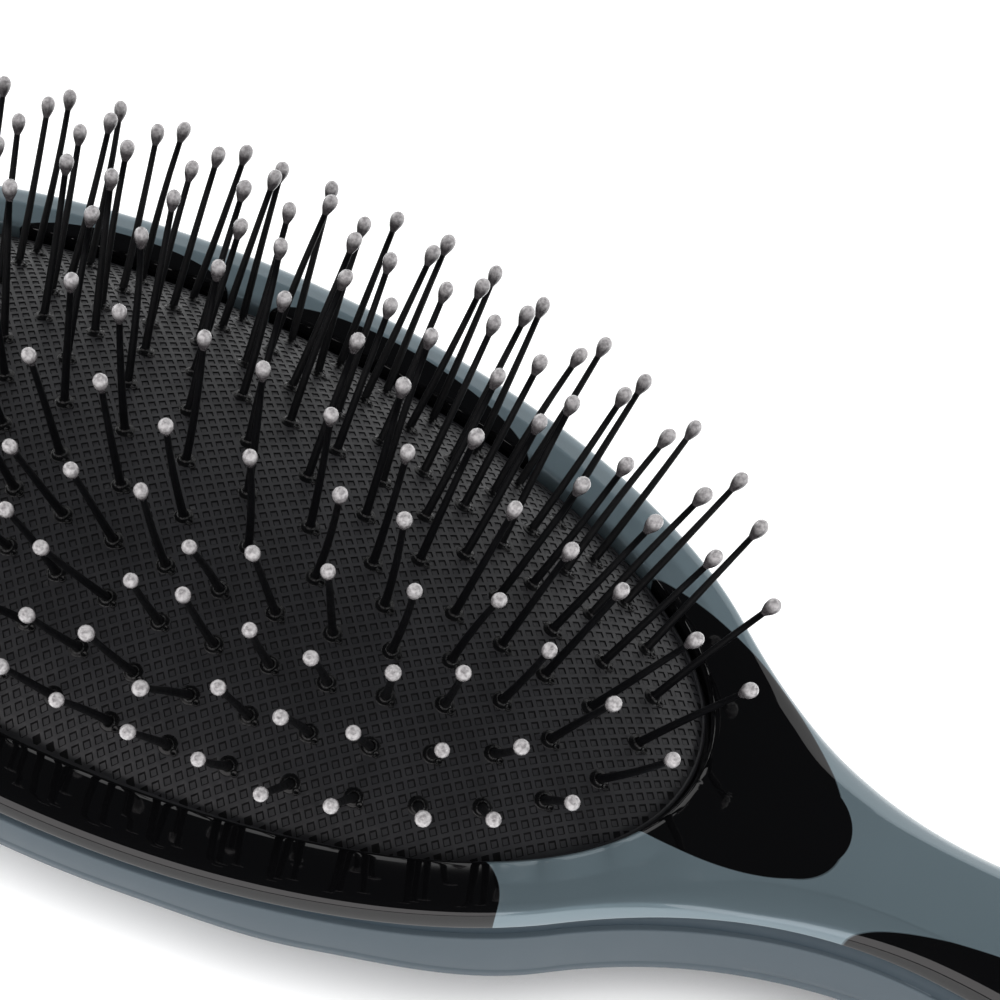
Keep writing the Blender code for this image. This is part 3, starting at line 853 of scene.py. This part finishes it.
def shell_gloss():
    n = Nodes("two_tone_gloss")
    place = n.add("ShaderNodeSeparateXYZ", Vector=n.position())
    patches = [n.oval(place.outputs[0], place.outputs[1], *patch) for patch in PATCHES]
    black = patches[0]
    for patch in patches[1:]:
        black = n.math("MAXIMUM", black, patch)
    grey = n.mix(n.noise(60, 3), (0.132, 0.178, 0.203, 1), (0.16, 0.213, 0.24, 1))
    n.set(Base_Color=n.mix(black, grey, BLACK))
    n.set(Metallic=n.remap(black, 0.0, 1.0, 0.55, 0.0))
    n.set(Roughness=n.remap(black, 0.0, 1.0, 0.3, 0.2))
    n.set(Specular_IOR_Level=0.0, Coat_Weight=1.0, Coat_Roughness=0.035, Coat_IOR=1.5)
    n.bump(n.noise(900, 2), 0.04, 0.00003)
    return n.material


def shell_satin():
    n = Nodes("satin_grey")
    n.set(Base_Color=n.mix(n.noise(45, 3), (0.052, 0.071, 0.086, 1), (0.063, 0.085, 0.102, 1)))
    n.set(Roughness=n.vary(0.3, 0.4, 400, 3))
    n.set(Specular_IOR_Level=0.25, Coat_Weight=0.05, Coat_Roughness=0.2)
    n.bump(n.noise(2600, 3), 0.12, 0.00003)
    return n.material


# The same satin grey painted darker: painted shade in the parting groove
def groove_painted_shade_satin():
    n = Nodes("satin_grey_groove_painted_shade")
    n.set(Base_Color=n.mix(n.noise(45, 3), (0.026, 0.04, 0.052, 1), (0.034, 0.05, 0.063, 1)))
    n.set(Roughness=n.vary(0.5, 0.6, 400, 3))
    n.set(Specular_IOR_Level=0.2)
    return n.material


def rubber():
    n = Nodes("embossed_rubber")
    dust = n.remap(n.noise(120, 5, 0.6), 0.35, 0.7, 0.0, 1.0)
    n.set(Base_Color=n.mix(dust, (0.0086, 0.0087, 0.0101, 1), (0.0136, 0.0138, 0.016, 1)))
    n.set(Roughness=n.vary(0.42, 0.58, 700))
    n.bump(n.noise(5000, 3), 0.25, 0.00004)
    return n.material


# The rubber painted much darker on the pits' sides: painted shade in the pits
def rubber_pit_walls_painted_shade():
    n = Nodes("embossed_rubber_pit_walls_painted_shade")
    n.set(Base_Color=n.mix(n.noise(300), (0.0018, 0.0018, 0.0021, 1), (0.003, 0.003, 0.0034, 1)))
    n.set(Roughness=n.vary(0.7, 0.85, 700))
    n.set(Specular_IOR_Level=0.15)
    return n.material


# Black glossy rubber for the collars, darker than the cushion; the darkness is partly the collar's own black
# and partly painted shade round each pin's foot
def socket_gloss_painted_shade():
    n = Nodes("socket_rubber_painted_shade")
    n.set(Base_Color=n.mix(n.noise(300), (0.0012, 0.0012, 0.0014, 1), (0.0024, 0.0024, 0.0027, 1)))
    n.set(Roughness=n.vary(0.2, 0.32, 900), Specular_IOR_Level=0.3)
    return n.material


def nylon():
    n = Nodes("black_nylon")
    n.set(Base_Color=n.mix(n.noise(500), (0.0018, 0.0019, 0.0023, 1), (0.0035, 0.0036, 0.0043, 1)))
    n.set(Roughness=n.vary(0.34, 0.46, 1800, 3), Specular_IOR_Level=0.12)
    n.bump(n.noise(3500, 2), 0.12, 0.00002)
    return n.material


def tip_pearl_painted_lit_end():
    """Mottled grey, much lighter on the rounded end than on the side: painted light, the end painted lit and
    the side painted shaded.
    """
    n = Nodes("pearl_tip_painted_lit_end")
    mottle = n.remap(n.noise(3000, 3), 0.36, 0.62, 0.0, 1.0)
    # side is the tip's colour painted shaded, end the same colour painted lit
    side = n.mix(mottle, (0.034, 0.031, 0.033, 1), (0.066, 0.061, 0.064, 1))
    end = n.mix(mottle, (0.24, 0.23, 0.235, 1), (0.44, 0.426, 0.43, 1))
    painted_light_cap = n.add("ShaderNodeAttribute", {"attribute_name": "painted_light_cap"}).outputs["Fac"]
    n.set(Base_Color=n.mix(painted_light_cap, side, end))
    n.set(Roughness=n.vary(0.16, 0.26, 2500, 3))
    n.set(Coat_Weight=0.5, Coat_Roughness=0.06)
    n.bump(n.noise(2600, 2), 0.3, 0.00005)
    return n.material


def clamp_plastic():
    n = Nodes("clamp_plastic")
    n.set(Base_Color=n.mix(n.noise(200), (0.035, 0.035, 0.038, 1), (0.055, 0.055, 0.06, 1)))
    n.set(Roughness=n.vary(0.42, 0.55, 1200))
    n.bump(n.noise(3000, 2), 0.15, 0.00003)
    return n.material


def floor_white():
    """A white floor that glows a little where nothing stands near, as on an overexposed sweep; the glow fades
    near the brush, a painted contact shadow.
    """
    n = Nodes("white_sweep")
    n.set(Base_Color=n.mix(n.noise(8, 2), (0.86, 0.86, 0.86, 1), (0.88, 0.88, 0.88, 1)))
    n.set(Roughness=0.6)
    # The glow falls off near things: painted contact shadow under the brush
    open_sky = n.add("ShaderNodeAmbientOcclusion", {"samples": 8}, Distance=0.007).outputs["AO"]
    glow_with_painted_shadow = n.math("MULTIPLY", n.math("MULTIPLY", open_sky, open_sky), 0.62)
    n.set(Emission_Color=(1, 1, 1, 1), Emission_Strength=glow_with_painted_shadow)
    return n.material


# ---------------------------------------------------------------- studio and camera

# Metres: the floor lies just under the brush, and each light has a place, an aim, a size and a power in watts
FLOOR_HALF, FLOOR_Z = 3.0, -0.0002
WORLD_COLOUR, WORLD_STRENGTH = (0.9, 0.95, 1.0, 1), 0.04

# The camera solved from the rings of pins: its place round the cushion's centre, two axes, and its lens
CAMERA_PLACE = (91.74, -146.17, 195.39)
CAMERA_RIGHT = (0.8740, 0.4724, 0.1139)
CAMERA_BACK = (0.2438, -0.6290, 0.7382)
SENSOR_WIDTH, FOCAL_LENGTH = 36.0, 99.26


def area_light(name, place, aim, size, power, colour=(1, 1, 1)):
    data = bpy.data.lights.new(name, "AREA")
    data.shape = "RECTANGLE"
    data.size, data.size_y = size
    data.energy = power
    data.color = colour
    light = bpy.data.objects.new(name, data)
    light.location = place
    light.rotation_euler = (Vector(aim) - Vector(place)).to_track_quat("-Z", "Y").to_euler()
    bpy.context.scene.collection.objects.link(light)
    return light


def lights():
    area_light("front_wall", (0.0, -0.9, 0.33), (0.0, 0.0, 0.05), (1.8, 0.55), 6.6, (1.0, 0.96, 0.965))
    area_light("left_wall", (-1.05, 0.0, 0.33), (0.0, 0.0, 0.05), (1.4, 0.5), 5.5)
    area_light("right_wall", (1.05, 0.0, 0.33), (0.0, 0.0, 0.05), (1.4, 0.5), 5.5)
    area_light("back_wall", (-0.1, 0.9, 0.5), (-0.1, 0.0, 0.5), (2.2, 1.0), 7.4)
    ceiling = area_light("ceiling", (0.0, -0.25, 0.9), (0.0, -0.25, 0.0), (2.0, 1.4), 11.5)
    ceiling.visible_glossy = False


def floor():
    mesh = bpy.data.meshes.new("floor")
    corners = [(x * FLOOR_HALF, y * FLOOR_HALF, FLOOR_Z) for x, y in ((-1, -1), (1, -1), (1, 1), (-1, 1))]
    mesh.from_pydata(corners, [], [(0, 1, 2, 3)])
    mesh.materials.append(floor_white())
    obj = bpy.data.objects.new("floor", mesh)
    bpy.context.scene.collection.objects.link(obj)


def surroundings():
    background = bpy.data.worlds.new("studio")
    background.use_nodes = True
    shade = background.node_tree.nodes["Background"]
    shade.inputs["Color"].default_value = WORLD_COLOUR
    shade.inputs["Strength"].default_value = WORLD_STRENGTH
    bpy.context.scene.world = background
    bpy.context.scene.view_settings.view_transform = "Standard"


def camera():
    back = Vector(CAMERA_BACK).normalized()
    up = back.cross(Vector(CAMERA_RIGHT).normalized()).normalized()
    data = bpy.data.cameras.new("view")
    data.sensor_width = SENSOR_WIDTH
    data.lens = FOCAL_LENGTH
    data.clip_start = 0.01
    data.clip_end = 20.0
    obj = bpy.data.objects.new("view", data)
    turn = Matrix((up.cross(back), up, back)).transposed().to_4x4()
    obj.matrix_world = Matrix.Translation(Vector(world(CAMERA_PLACE).tolist())) @ turn
    bpy.context.scene.collection.objects.link(obj)
    bpy.context.scene.camera = obj


# ---------------------------------------------------------------- the pieces on their bodies


def shells():
    front = front_frame(shell_gloss())
    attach(front, "body")
    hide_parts("front_shell")
    back = back_cover(shell_satin(), groove_painted_shade_satin())
    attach(back, "body")
    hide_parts("back_shell")
    ring = frame["nodes"]["retaining_ring"]
    ring.data.materials.clear()
    ring.data.materials.append(clamp_plastic())


def cushion_and_sockets(pins):
    pad = cushion([rubber(), rubber_pit_walls_painted_shade()], pins)
    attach(pad, "body")
    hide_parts("cushion_pad")
    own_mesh(pad)
    collars = sockets(socket_gloss_painted_shade(), pins)
    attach(collars, "body")
    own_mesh(collars)


def brush_pins(groups):
    pin_materials = [nylon(), tip_pearl_painted_lit_end()]
    for name, pins in groups.items():
        piece = pins_object("brush_" + name, pins, pin_materials)
        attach(piece, name)
        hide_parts(name)


def main():
    camera()
    floor()
    lights()
    surroundings()
    shells()
    groups = pin_groups()
    cushion_and_sockets([pin for pins in groups.values() for pin in pins])
    brush_pins(groups)


main()
